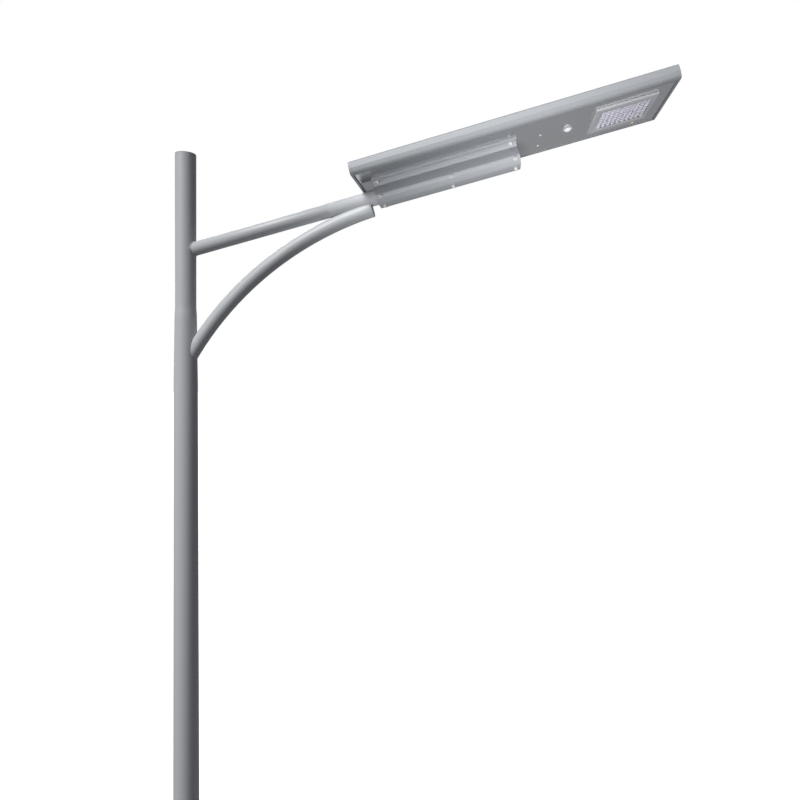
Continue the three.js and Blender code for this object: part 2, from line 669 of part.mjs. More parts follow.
// Inverted U over both packs, with a foot on each side.
function batteryStrap(along) {
  const outer = BATTERY.outer + 1.8;
  const top = BATTERY.top + 1.6;
  const foot = PANEL_THICKNESS + GAP;
  const right = [[outer + 12, foot], [outer + 12, foot + 1.2], [outer, foot + 1.2], [outer, top]];
  const left = right.map(([across, up]) => [-across, up]).reverse();
  const inner = [
    [-outer + 1.2, foot], [-outer + 1.2, top - 1.2], [outer - 1.2, top - 1.2], [outer - 1.2, foot],
  ];
  const shape = outline([...right, ...left, ...inner]);
  return alongX(shape, along - 10, along + 10);
}

function cable(points, r) {
  const path = new THREE.CatmullRomCurve3(points.map(([x, y, z]) => new THREE.Vector3(x, y, z)));
  const section = new THREE.Shape().absarc(0, 0, r, 0, 2 * Math.PI);
  return new THREE.ExtrudeGeometry(section, { steps: 16, curveSegments: 4, extrudePath: path });
}

place(head, 'battery_pack_near', batteryPack(-1), BATTERY_BLUE);
place(head, 'battery_pack_far', batteryPack(1), BATTERY_BLUE);
place(head, 'battery_strap_1', batteryStrap(200), STRAP_STEEL);
place(head, 'battery_strap_2', batteryStrap(475), STRAP_STEEL);
place(head, 'charge_controller', box(
  CONTROLLER.start, CONTROLLER.end, -CONTROLLER.half, CONTROLLER.half, PANEL_THICKNESS + 4, CONTROLLER.top,
), CONTROLLER_BLACK);
place(head, 'battery_cable', cable([
  [BATTERY.end + 1, -60, 20], [642, -60, 20], [652, -45, 18], [660, -40, 16], [CONTROLLER.start - 1, -40, 16],
], 2.5), CABLE_BLACK);
place(head, 'panel_cable', cable([
  [CONTROLLER.end + 1, 60, 18], [752, 60, 18], [770, 66, 26], [786, 72, 32], [800, 74, 33.6],
], 2.2), CABLE_BLACK);
place(head, 'led_cable', cable([
  [CONTROLLER.end + 1, -70, 14], [756, -70, 14], [800, -62, 13], [850, -60, 14], [892, -60, 15],
], 2.5), CABLE_BLACK);

export default lamp;
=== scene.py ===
"""Solar street lamp: the finished surfaces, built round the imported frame.

Metres, +Z up, the pole's axis on Z. Pieces of the head are modelled in the head's own
frame, (along, across, up), with up = 0 on the underside of the bottom panel, and are then
turned into place with HEAD_FRAME.
"""

import json
import math

import bmesh
import bpy
from bpy.props import FloatProperty, FloatVectorProperty, IntProperty, PointerProperty
from mathutils import Matrix, Vector


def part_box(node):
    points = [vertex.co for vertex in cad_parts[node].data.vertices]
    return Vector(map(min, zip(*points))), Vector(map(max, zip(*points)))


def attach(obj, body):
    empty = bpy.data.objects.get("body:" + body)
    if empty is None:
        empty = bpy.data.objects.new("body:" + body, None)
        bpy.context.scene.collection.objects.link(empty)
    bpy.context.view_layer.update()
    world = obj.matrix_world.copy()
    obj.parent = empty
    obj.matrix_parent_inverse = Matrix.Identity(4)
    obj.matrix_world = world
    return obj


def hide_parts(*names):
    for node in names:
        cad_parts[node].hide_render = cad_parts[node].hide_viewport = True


bl_info = {
    "name": "Solar Street Lamp",
    "version": (1, 0, 0),
    "blender": (4, 5, 0),
    "location": "View3D > Sidebar > Street Lamp",
    "description": "Builds the finished pieces of a solar street lamp round its frame",
    "category": "Object",
}

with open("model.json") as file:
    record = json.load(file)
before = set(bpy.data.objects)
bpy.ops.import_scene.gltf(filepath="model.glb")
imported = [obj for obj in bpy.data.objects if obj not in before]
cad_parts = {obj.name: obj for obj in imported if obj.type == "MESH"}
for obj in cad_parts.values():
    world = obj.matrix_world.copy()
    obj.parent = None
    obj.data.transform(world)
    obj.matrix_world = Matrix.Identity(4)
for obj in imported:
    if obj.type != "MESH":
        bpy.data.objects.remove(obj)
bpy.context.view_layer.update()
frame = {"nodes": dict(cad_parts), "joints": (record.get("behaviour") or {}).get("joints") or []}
MM = 0.001
WELD_RIPPLE = 0.12  # share of a weld bead's radius that its ripples add and take
SMOOTH_BELOW = 21.0  # degrees; faces that meet at less are shaded as one

# ---- frames and sizes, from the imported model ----
JOINTS = {joint["name"]: joint for joint in frame["joints"]}
ARM_ALONG = Vector(JOINTS["head_roll"]["axis"]).normalized()
ARM_UP = Vector((-ARM_ALONG.z, 0, ARM_ALONG.x))
ARM_TILT = math.atan2(ARM_ALONG.z, ARM_ALONG.x)
ARM_POINT = Vector(JOINTS["head_roll"]["pos_m"])
ARM_ORIGIN = ARM_POINT - ARM_ALONG * (ARM_POINT.x / ARM_ALONG.x)  # on the pole's axis


def frame_at(origin):
    """The frame whose X runs along the arm, Y across the head and Z up from it."""
    turn = Matrix((ARM_ALONG, (0, 1, 0), ARM_UP)).transposed().to_4x4()
    return Matrix.Translation(origin) @ turn


ARM_FRAME = frame_at(ARM_ORIGIN)


def local_box(node, matrix):
    """Lowest and highest corner of a CAD node in the frame that matrix describes."""
    inverse = matrix.inverted()
    corners = [inverse @ v.co for v in frame["nodes"][node].data.vertices]
    low = Vector([min(c[i] for c in corners) for i in range(3)])
    high = Vector([max(c[i] for c in corners) for i in range(3)])
    return low, high


PANEL_IN_ARM = local_box("bottom_panel", ARM_FRAME)
CAP_IN_ARM = local_box("end_cap_pole_side", ARM_FRAME)
HEAD_FRAME = ARM_FRAME @ Matrix.Translation((CAP_IN_ARM[0].x, 0, PANEL_IN_ARM[0].z))
HEAD_HALF = local_box("end_cap_lamp_side", HEAD_FRAME)[1].y
SOCKET_AXIS = -PANEL_IN_ARM[0].z  # the arm's axis, in the head's frame


# ---- what a user may change ----
class LampSizes(bpy.types.PropertyGroup):
    round_steps: IntProperty(
        name="Round steps", description="Facets round the pole and the tubes", default=96, min=24,
    )
    weld_radius: FloatProperty(
        name="Weld bead", description="Radius of the weld beads", default=0.0022, unit="LENGTH",
    )
    cell_columns: IntProperty(name="Cells along", description="Solar cells along the head", default=9)
    cell_rows: IntProperty(name="Cells across", description="Solar cells across the head", default=4)
    lens_columns: IntProperty(name="Lenses along", description="Lenses along the module", default=10)
    lens_rows: IntProperty(name="Lenses across", description="Lenses across the module", default=7)


def colour_property(name, default):
    return FloatVectorProperty(
        name=name, description=f"{name} colour", default=default, subtype="COLOR", size=3,
        min=0, max=1,
    )


class LampColours(bpy.types.PropertyGroup):
    paint: colour_property("Pole paint", (0.50, 0.515, 0.535))
    profile: colour_property("Side profile", (0.29, 0.302, 0.32))
    panel: colour_property("Bottom panel", (0.70, 0.70, 0.715))
    clamp: colour_property("Clamp extrusion", (0.50, 0.52, 0.55))
    steel: colour_property("Fastener steel", (0.94, 0.93, 0.915))
    cells: colour_property("Solar cells", (0.010, 0.020, 0.060))
    lens: colour_property("Lens", (0.68, 0.655, 0.76))
    dome: colour_property("Sensor dome", (0.66, 0.69, 0.73))


def sizes():
    return bpy.context.scene.lamp_sizes


def colours():
    return bpy.context.scene.lamp_colours


# ---- node groups shared by the materials ----
def socket(group, name, kind, in_out="INPUT", default=None):
    made = group.interface.new_socket(name=name, in_out=in_out, socket_type=f"NodeSocket{kind}")
    if default is not None:
        made.default_value = default
    return made


def new_group(name, inputs, outputs):
    group = bpy.data.node_groups.new(name, "ShaderNodeTree")
    for label, kind, default in inputs:
        socket(group, label, kind, default=default)
    for label, kind in outputs:
        socket(group, label, kind, in_out="OUTPUT")
    return group, group.nodes.new("NodeGroupInput"), group.nodes.new("NodeGroupOutput")


def add(tree, kind, values=None, **settings):
    """A new node with its settings, and plain values on its named or numbered inputs."""
    node = tree.nodes.new(f"ShaderNode{kind}")
    for key, value in settings.items():
        setattr(node, key, value)
    for key, value in (values or {}).items():
        node.inputs[key].default_value = value
    return node


def finish_group(group, given, result, noise, height):
    """Turns a noise into a colour factor near 1 and a roughness, and passes a height on."""
    link = group.links.new
    centred = add(group, "Math", {1: 0.5}, operation="SUBTRACT")
    link(noise.outputs["Fac"], centred.inputs[0])
    colour = add(group, "Math", {2: 1.0}, operation="MULTIPLY_ADD")
    link(centred.outputs[0], colour.inputs[0])
    link(given.outputs["Colour change"], colour.inputs[1])
    rough = add(group, "Math", operation="MULTIPLY_ADD")
    link(centred.outputs[0], rough.inputs[0])
    link(given.outputs["Roughness change"], rough.inputs[1])
    link(given.outputs["Roughness"], rough.inputs[2])
    link(colour.outputs[0], result.inputs["Colour factor"])
    link(rough.outputs[0], result.inputs["Roughness"])
    link(height.outputs["Fac"], result.inputs["Height"])


def grain_group():
    """Fine mottle: a colour factor near 1, a roughness and a height."""
    name = "Surface grain"
    if name in bpy.data.node_groups:
        return bpy.data.node_groups[name]
    group, given, result = new_group(
        name,
        [("Grain size", "Float", 400.0), ("Patch size", "Float", 6.0), ("Colour change", "Float", 0.05),
         ("Roughness", "Float", 0.4), ("Roughness change", "Float", 0.06)],
        [("Colour factor", "Float"), ("Roughness", "Float"), ("Height", "Float")],
    )
    link = group.links.new
    place = add(group, "TexCoord")
    fine = add(group, "TexNoise", {"Detail": 3.0, "Roughness": 0.6})
    patch = add(group, "TexNoise", {"Detail": 4.0, "Roughness": 0.55})
    for noise, scale in ((fine, "Grain size"), (patch, "Patch size")):
        link(place.outputs["Object"], noise.inputs["Vector"])
        link(given.outputs[scale], noise.inputs["Scale"])
    finish_group(group, given, result, patch, fine)
    return group


def drawn_group():
    """Streaks left along an extrusion or by brushing: long in X, fine in Y and Z."""
    name = "Drawn lines"
    if name in bpy.data.node_groups:
        return bpy.data.node_groups[name]
    group, given, result = new_group(
        name,
        [("Tilt", "Float", 0.0), ("Fineness", "Float", 900.0), ("Stretch", "Float", 0.02),
         ("Colour change", "Float", 0.08), ("Roughness", "Float", 0.3), ("Roughness change", "Float", 0.12)],
        [("Colour factor", "Float"), ("Roughness", "Float"), ("Height", "Float")],
    )
    link = group.links.new
    place = add(group, "TexCoord")
    turn = add(group, "VectorRotate", {"Axis": (0, 1, 0)}, rotation_type="AXIS_ANGLE")
    link(place.outputs["Object"], turn.inputs["Vector"])
    link(given.outputs["Tilt"], turn.inputs["Angle"])
    shape = add(group, "CombineXYZ", {"Y": 1.0, "Z": 1.0})
    link(given.outputs["Stretch"], shape.inputs["X"])
    squeeze = add(group, "VectorMath", operation="MULTIPLY")
    link(turn.outputs["Vector"], squeeze.inputs[0])
    link(shape.outputs["Vector"], squeeze.inputs[1])
    lines = add(group, "TexNoise", {"Detail": 5.0, "Roughness": 0.65})
    link(squeeze.outputs["Vector"], lines.inputs["Vector"])
    link(given.outputs["Fineness"], lines.inputs["Scale"])
    finish_group(group, given, result, lines, lines)
    return group


# ---- materials ----
def base_material(name, **values):
    """A material with its Principled shader, and plain values on that shader's sockets."""
    material = bpy.data.materials.new(name)
    material.use_nodes = True
    shader = material.node_tree.nodes["Principled BSDF"]
    for key, value in values.items():
        shader.inputs[key.replace("_", " ")].default_value = value
    return material, material.node_tree, shader


def tinted(tree, factor_socket, colour):
    """The colour times a factor that changes over the surface."""
    mix = add(tree, "VectorMath", {0: tuple(colour)}, operation="SCALE")
    tree.links.new(factor_socket, mix.inputs["Scale"])
    return mix.outputs["Vector"]


def use_pattern(tree, shader, pattern, colour, bump_depth):
    """Wires a pattern group's three outputs to colour, roughness and a bump."""
    tree.links.new(tinted(tree, pattern.outputs["Colour factor"], colour), shader.inputs["Base Color"])
    tree.links.new(pattern.outputs["Roughness"], shader.inputs["Roughness"])
    bump = add(tree, "Bump", {"Strength": 1.0, "Distance": bump_depth})
    tree.links.new(pattern.outputs["Height"], bump.inputs["Height"])
    tree.links.new(bump.outputs["Normal"], shader.inputs["Normal"])


def place_group(tree, group, values):
    node = tree.nodes.new("ShaderNodeGroup")
    node.node_tree = group
    for key, value in values.items():
        node.inputs[key].default_value = value
    return node


def grained(name, colour, roughness, grain=500.0, patch=5.0, change=0.06, rough_change=0.08,
            bump=0.00006, **values):
    """Paint, plastic, rubber or film: a plain colour with fine mottle."""
    material, tree, shader = base_material(name, **values)
    pattern = place_group(tree, grain_group(), {
        "Grain size": grain, "Patch size": patch, "Colour change": change,
        "Roughness": roughness, "Roughness change": rough_change,
    })
    use_pattern(tree, shader, pattern, colour, bump)
    return material


def drawn(name, colour, roughness, tilt=ARM_TILT, fineness=900.0, stretch=0.02, change=0.08,
          rough_change=0.12, bump=0.00004, **values):
    """Extruded or brushed metal with its streaks along the head."""
    material, tree, shader = base_material(name, **values)
    pattern = place_group(tree, drawn_group(), {
        "Tilt": tilt, "Fineness": fineness, "Stretch": stretch, "Colour change": change,
        "Roughness": roughness, "Roughness change": rough_change,
    })
    use_pattern(tree, shader, pattern, colour, bump)
    return material


def pole_paint():
    return grained("Pole powder coat", colours().paint, 0.46, grain=900.0, patch=3.0, change=0.05,
                   rough_change=0.10, bump=0.00005, Metallic=0.0, Coat_Weight=0.12, Coat_Roughness=0.3)


def weld_paint():
    return grained("Painted weld", colours().paint, 0.5, grain=260.0, patch=40.0, change=0.10,
                   bump=0.0004)


def profile_metal():
    return drawn("Side profile anodising", colours().profile, 0.52, change=0.05, rough_change=0.08,
                 bump=0.00002, Metallic=0.2)


def clamp_metal():
    return drawn("Clamp anodising", colours().clamp, 0.34, change=0.10, rough_change=0.12,
                 Metallic=0.35)


def panel_metal():
    return drawn("Bottom panel sheet", colours().panel, 0.13, fineness=700.0, change=0.06,
                 rough_change=0.07, bump=0.000008, Metallic=0.85)


def frame_metal():
    return drawn("Lamp frame anodising", (0.54, 0.55, 0.57), 0.4, change=0.05, Metallic=0.25)


def sleeve_metal():
    return drawn("Sleeve mill finish", (0.42, 0.43, 0.45), 0.45, Metallic=0.9)


def fastener_steel():
    return grained("Fastener steel", colours().steel, 0.2, grain=1500.0, patch=120.0, change=0.12,
                   rough_change=0.14, bump=0.00002, Metallic=0.45)


# Near-black painted shade for the walls and floor of the hex sockets, standing in for the shadow inside
# them.
def painted_recess_shade():
    return grained("Painted recess shade", (0.03, 0.028, 0.026), 0.5, grain=1500.0, patch=200.0, change=0.3,
                   Metallic=0.6)


def strap_metal():
    return grained("Zinc strip", (0.62, 0.63, 0.64), 0.35, grain=700.0, patch=30.0, change=0.2,
                   Metallic=0.95)


def rubber():
    return grained("Black rubber", (0.018, 0.018, 0.019), 0.72, grain=1800.0, bump=0.00008)


def back_sheet():
    return grained("Coated tray", (0.78, 0.79, 0.80), 0.5, grain=900.0)


def solar_glass():
    """Tempered glass: clear straight on, and more mirror-like at a glancing angle."""
    material, tree, shader = base_material(
        "Solar glass", Roughness=0.03, IOR=1.45, Base_Color=(0.02, 0.03, 0.05, 1),
    )
    facing = add(tree, "LayerWeight", {"Blend": 0.25})
    alpha = add(tree, "MapRange", {"To Min": 0.16, "To Max": 0.9})
    tree.links.new(facing.outputs["Facing"], alpha.inputs["Value"])
    tree.links.new(alpha.outputs["Result"], shader.inputs["Alpha"])
    ripple = add(tree, "TexNoise", {"Scale": 220.0, "Detail": 2.0})
    place = add(tree, "TexCoord")
    bump = add(tree, "Bump", {"Strength": 0.25, "Distance": 0.00005})
    tree.links.new(place.outputs["Object"], ripple.inputs["Vector"])
    tree.links.new(ripple.outputs["Fac"], bump.inputs["Height"])
    tree.links.new(bump.outputs["Normal"], shader.inputs["Normal"])
    return material


def cell_silicon():
    """Dark blue cells with fine silver fingers running across them."""
    material, tree, shader = base_material("Solar cell silicon", Metallic=0.2, Coat_Weight=0.6)
    link = tree.links.new
    pattern = place_group(tree, drawn_group(), {
        "Tilt": ARM_TILT, "Fineness": 60.0, "Stretch": 0.3, "Colour change": 0.5,
        "Roughness": 0.3, "Roughness change": 0.1,
    })
    place = add(tree, "TexCoord")
    turn = add(tree, "Mapping", {"Rotation": (0, ARM_TILT, 0)})
    link(place.outputs["Object"], turn.inputs["Vector"])
    fingers = add(tree, "TexWave", {"Scale": 180.0}, bands_direction="X", wave_profile="SIN")
    link(turn.outputs["Vector"], fingers.inputs["Vector"])
    edge = add(tree, "MapRange", {"From Min": 0.86, "From Max": 1.0, "To Max": 0.35})
    link(fingers.outputs["Fac"], edge.inputs["Value"])
    blend = add(tree, "Mix", {7: (0.45, 0.47, 0.5, 1)}, data_type="RGBA")  # 6 and 7: colours
    link(edge.outputs["Result"], blend.inputs[0])
    link(tinted(tree, pattern.outputs["Colour factor"], colours().cells), blend.inputs[6])
    link(blend.outputs[2], shader.inputs["Base Color"])
    link(pattern.outputs["Roughness"], shader.inputs["Roughness"])
    return material


def ribbon_metal():
    return drawn("Cell ribbon", (0.72, 0.73, 0.75), 0.25, Metallic=0.95)


def lens_plastic():
    """Optical plastic: milky, only partly see-through, with a pale tint."""
    return grained("Lens plastic", colours().lens, 0.08, grain=600.0, patch=60.0, change=0.04,
                   rough_change=0.05, bump=0.00002, Transmission_Weight=0.25, IOR=1.49,
                   Coat_Weight=0.5)


def board_white():
    return grained("White board", (0.80, 0.80, 0.82), 0.45, grain=1200.0)


def chip_phosphor():
    return grained("Lamp chip phosphor", (0.86, 0.74, 0.30), 0.4, grain=3000.0)


def board_green():
    return grained("Green board", (0.02, 0.12, 0.05), 0.35, grain=300.0, patch=90.0, change=0.5)


def dome_plastic():
    return grained("Sensor dome plastic", colours().dome, 0.33, grain=900.0, change=0.03,
                   Subsurface_Weight=0.15, Subsurface_Scale=0.003, Coat_Weight=0.3)


def ring_plastic():
    return grained("Sensor ring plastic", (0.34, 0.345, 0.355), 0.35, grain=1000.0)


def amber_plastic():
    return grained("Status lens plastic", (0.72, 0.60, 0.42), 0.25, grain=900.0, Coat_Weight=0.4)


def battery_film():
    return grained("Battery film", (0.02, 0.10, 0.34), 0.3, grain=160.0, patch=20.0, change=0.2,
                   bump=0.0004, Coat_Weight=0.5)


def cable_sheath():
    return grained("Cable sheath", (0.012, 0.012, 0.013), 0.5, grain=1400.0)


def controller_case():
    return grained("Controller case", (0.02, 0.022, 0.026), 0.5, grain=1100.0, patch=30.0)


# ---- mesh helpers ----
def finish_piece(name, bm, body, material, nodes=(), matrix=None, sharp=SMOOTH_BELOW):
    """Puts a finished bmesh into the scene as one piece that rides on its body."""
    if matrix is not None:
        bmesh.ops.transform(bm, matrix=matrix, verts=bm.verts)
    bmesh.ops.remove_doubles(bm, verts=bm.verts, dist=1e-6)
    bmesh.ops.recalc_face_normals(bm, faces=bm.faces)
    mesh = bpy.data.meshes.new(name)
    bm.to_mesh(mesh)
    bm.free()
    mesh.shade_smooth()
    mesh.set_sharp_from_angle(angle=math.radians(sharp))
    piece = bpy.data.objects.new(name, mesh)
    bpy.context.scene.collection.objects.link(piece)
    piece.data.materials.append(material)
    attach(piece, body)
    if nodes:
        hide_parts(*nodes)
    return piece


def dress(node, material):
    """Gives a carried-over CAD node its finished material."""
    data = frame["nodes"][node].data
    data.materials.clear()
    data.materials.append(material)


def round_edges(bm, edges, radius, segments):
    bmesh.ops.bevel(
        bm, geom=edges, offset=radius, offset_type="OFFSET", segments=segments, profile=0.5,
        affect="EDGES", clamp_overlap=True, material=-1,
    )


def once_each(items):
    """The items in the order they come in, without repeats."""
    return list(dict.fromkeys(items))


def in_mm(points):
    """(radius, height) points given in millimetres, turned into metres."""
    return [(r * MM, z * MM) for r, z in points]


def turn_angles(count):
    return [2 * math.pi * i / count for i in range(count)]


def refined(node, edge=None, segments=2, crease=28.0):
    """A bmesh copy of a CAD node, its triangles joined into faces and its edges rounded."""
    bm = bmesh.new()
    bm.from_mesh(frame["nodes"][node].data)
    bmesh.ops.remove_doubles(bm, verts=bm.verts, dist=2e-6)
    bmesh.ops.dissolve_limit(bm, angle_limit=math.radians(0.6), verts=bm.verts, edges=bm.edges)
    if edge:
        sharp = [
            e for e in bm.edges
            if len(e.link_faces) == 2 and e.calc_face_angle(0) > math.radians(crease)
        ]
        round_edges(bm, sharp, edge, segments)
    return bm


def lathe(bm, profile, steps, matrix=None):
    """Turns (radius, height) points about Z; a profile that starts and ends on the axis is closed."""
    start = len(bm.verts)
    verts = [bm.verts.new((r, 0, z)) for r, z in profile]
    edges = [bm.edges.new(pair) for pair in zip(verts, verts[1:])]
    bmesh.ops.spin(
        bm, geom=verts + edges, cent=(0, 0, 0), axis=(0, 0, 1), dvec=(0, 0, 0),
        angle=2 * math.pi, steps=steps, use_merge=True,
    )
    bm.verts.ensure_lookup_table()
    made = bm.verts[start:]
    bmesh.ops.remove_doubles(bm, verts=made, dist=1e-6)
    bm.verts.ensure_lookup_table()
    if matrix is not None:
        bmesh.ops.transform(bm, matrix=matrix, verts=bm.verts[start:])


def extrude_outline(bm, points, start, end):
    """Extrudes an (across, up) outline along X."""
    verts = [bm.verts.new((start, across, up)) for across, up in points]
    face = bm.faces.new(verts)
    grown = bmesh.ops.extrude_face_region(bm, geom=[face])
    moved = [v for v in grown["geom"] if isinstance(v, bmesh.types.BMVert)]
    bmesh.ops.translate(bm, vec=(end - start, 0, 0), verts=moved)


def rounded_box(bm, low, high, edge):
    """A box between two corners, with its edges rounded."""
    made = bmesh.ops.create_cube(bm, size=1)["verts"]
    size = Vector(high) - Vector(low)
    bmesh.ops.scale(bm, vec=size, verts=made)
    bmesh.ops.translate(bm, vec=(Vector(low) + Vector(high)) / 2, verts=made)
    round_edges(bm, once_each(e for v in made for e in v.link_edges), edge, 1)


def weld_bead(name, points, body, material, radius=None):
    """A rippled bead that runs round a closed line of points."""
    radius = radius or sizes().weld_radius
    bm = bmesh.new()
    count = len(points)
    ring = []
    for i, point in enumerate(points):
        tangent = (points[(i + 1) % count] - points[i - 1]).normalized()
        swell = radius * (1 + WELD_RIPPLE * math.cos(i * math.pi))
        made = bmesh.ops.create_circle(bm, cap_ends=False, segments=8, radius=swell)["verts"]
        turn = tangent.to_track_quat("Z", "Y").to_matrix().to_4x4()
        bmesh.ops.transform(bm, matrix=Matrix.Translation(point) @ turn, verts=made)
        ring.append(once_each(e for v in made for e in v.link_edges))
    for i in range(count):
        bmesh.ops.bridge_loops(bm, edges=ring[i] + ring[(i + 1) % count])
    return finish_piece(name, bm, body, material, sharp=80)


# ---- operators ----
class LampOperator:
    """Shared by every operator here: each adds its pieces and can be undone."""

    bl_options = {"REGISTER", "UNDO"}


class LAMP_OT_pole(LampOperator, bpy.types.Operator):
    """Tapered pole shaft with its plugged top"""

    bl_idname = "lamp.pole"
    bl_label = "Pole"

    wall = 3.5 * MM
    edge = 0.5 * MM
    plug_gap = 0.3 * MM
    plug_round = 1.2 * MM
    plug_round_mid = 0.35 * MM  # how far in the rounding is halfway round
    taper_end = (94.4 / 2 * MM, 3.070)  # radius and height of each section's end
    shoulder = (85.5 / 2 * MM, 3.365)
    top_tube = (82 / 2 * MM, 3.387)

    def execute(self, context):
        low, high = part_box("pole_shaft")
        cap_low, cap_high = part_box("pole_top_cap")
        steps = sizes().round_steps
        paint = pole_paint()
        outer = [  # each section's end is eased into the next over a few millimetres
            (high.x - self.edge, low.z), (high.x, low.z + self.edge), self.taper_end,
            (self.shoulder[0] + 0.6 * MM, self.shoulder[1] - 26 * MM), self.shoulder,
            (self.shoulder[0] - 0.5 * MM, self.shoulder[1] + 3 * MM),
            (self.top_tube[0] + 0.3 * MM, self.top_tube[1] - 4 * MM), self.top_tube,
            (self.top_tube[0], high.z),
        ]
        inner = [(r - self.wall, z) for r, z in reversed(outer)]
        bm = bmesh.new()
        lathe(bm, outer + inner + outer[:1], steps)
        finish_piece("pole_tube", bm, "pole", paint, ["pole_shaft"], sharp=50)

        radius = cap_high.x
        gap, round_r, mid = self.plug_gap, self.plug_round, self.plug_round_mid
        plug = radius - self.wall - gap
        seat = high.z + gap
        bm = bmesh.new()
        lathe(bm, [
            (0, cap_low.z), (plug - 1.5 * MM, cap_low.z), (plug, cap_low.z + 2 * MM), (plug, seat),
            (radius - gap, seat), (radius, seat + gap), (radius, cap_high.z - round_r),
            (radius - mid, cap_high.z - mid), (radius - round_r, cap_high.z),
            (0, cap_high.z),
        ], steps)
        finish_piece("pole_cap", bm, "pole", paint, ["pole_top_cap"])
        return {"FINISHED"}


class LAMP_OT_base(LampOperator, bpy.types.Operator):
    """Base flange, its gussets and the weld bead round the pole's foot"""

    bl_idname = "lamp.base"
    bl_label = "Base"

    weld_steps = 120
    weld_size = 1.5  # times the usual radius of a bead
    weld_out = 0.3  # of the bead's radius, outside the pole
    weld_up = 0.2  # of the bead's radius, above the pole's foot

    def execute(self, context):
        paint = pole_paint()
        bm = refined("base_flange", edge=1.6 * MM)
        finish_piece("base_plate", bm, "pole", paint, ["base_flange"])
        for i in range(1, 5):
            bm = refined(f"base_gusset_{i}", edge=1.0 * MM)
            finish_piece(f"base_rib_{i}", bm, "pole", paint, [f"base_gusset_{i}"])
        low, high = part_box("pole_shaft")
        bead = sizes().weld_radius * self.weld_size
        lift = Vector((0, 0, low.z + bead * self.weld_up))
        points = [
            Vector((math.cos(a), math.sin(a), 0)) * (high.x + bead * self.weld_out) + lift
            for a in turn_angles(self.weld_steps)
        ]
        weld_bead("foot_weld", points, "pole", weld_paint(), radius=bead)
        return {"FINISHED"}


class LAMP_OT_arm(LampOperator, bpy.types.Operator):
    """Arm tube, lamp spigot, curved brace and their welds"""

    bl_idname = "lamp.arm"
    bl_label = "Arm"

    edge = 0.5 * MM
    wall = 2.7 * MM
    spigot_gap = 0.3 * MM  # between the arm and the spigot pushed over it
    root_depth = 6 * MM  # how far the arm's root goes into the pole
    weld_steps = 72
    weld_out = 0.25  # of the bead's radius, outside the arm and the pole
    spigot_weld_radius = 2.4 * MM
    spigot_weld_back = 0.8 * MM

    def tube(self, name, node, inner, paint, root=None):
        low, high = local_box(node, ARM_FRAME)
        start = low.x if root is None else root
        r = high.z
        edge = self.edge
        bm = bmesh.new()
        made = [
            (inner, start), (r - edge, start), (r, start + edge), (r, high.x - edge),
            (r - edge, high.x), (inner, high.x), (inner, start),
        ]
        along_arm = ARM_FRAME @ Matrix.Rotation(math.pi / 2, 4, "Y")
        lathe(bm, made, sizes().round_steps * 2 // 3, along_arm)
        finish_piece(name, bm, "pole", paint, [node], sharp=50)

    def saddle(self, tube_r, pole_r, grow):
        """Points where the arm's surface meets the pole's, just outside both."""
        points = []
        for a in turn_angles(self.weld_steps):
            across = (tube_r + grow) * math.cos(a)
            up = (tube_r + grow) * math.sin(a)
            reach = math.sqrt((pole_r + grow) ** 2 - across**2)
            along = (reach - ARM_UP.x * up) / ARM_ALONG.x
            points.append(ARM_FRAME @ Vector((along, across, up)))
        return points

    def execute(self, context):
        paint = pole_paint()
        pole_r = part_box("pole_top_cap")[1].x
        arm_r = local_box("arm_tube", ARM_FRAME)[1].z
        self.tube("arm", "arm_tube", arm_r - self.wall, paint, pole_r - self.root_depth)
        self.tube("spigot", "lamp_spigot", arm_r + self.spigot_gap, paint)

        bm = refined("arm_brace")
        finish_piece("brace", bm, "pole", paint, ["arm_brace"], sharp=40)
        bm = refined("brace_end_cap", edge=0.7 * MM, crease=45)
        finish_piece("brace_plug", bm, "pole", paint, ["brace_end_cap"])

        weld = weld_paint()
        points = self.saddle(arm_r, pole_r, sizes().weld_radius * self.weld_out)
        weld_bead("arm_weld", points, "pole", weld)
        along = local_box("lamp_spigot", ARM_FRAME)[0].x - self.spigot_weld_back
        ring = [
            ARM_FRAME @ Vector((along, arm_r * math.cos(a), arm_r * math.sin(a)))
            for a in turn_angles(self.weld_steps)
        ]
        weld_bead("spigot_weld", ring, "pole", weld, self.spigot_weld_radius)
        return {"FINISHED"}


class LAMP_OT_clamp(LampOperator, bpy.types.Operator):
    """Socket clamp under the head, and the split sleeve inside it"""

    bl_idname = "lamp.clamp"
    bl_label = "Clamp"

    def execute(self, context):
        bm = refined("clamp_extrusion", edge=0.2 * MM, segments=1, crease=30)
        finish_piece("clamp_body", bm, "head", clamp_metal(), ["clamp_extrusion"])
        bm = refined("socket_sleeve")
        finish_piece("sleeve", bm, "sleeve", sleeve_metal(), ["socket_sleeve"])
        return {"FINISHED"}


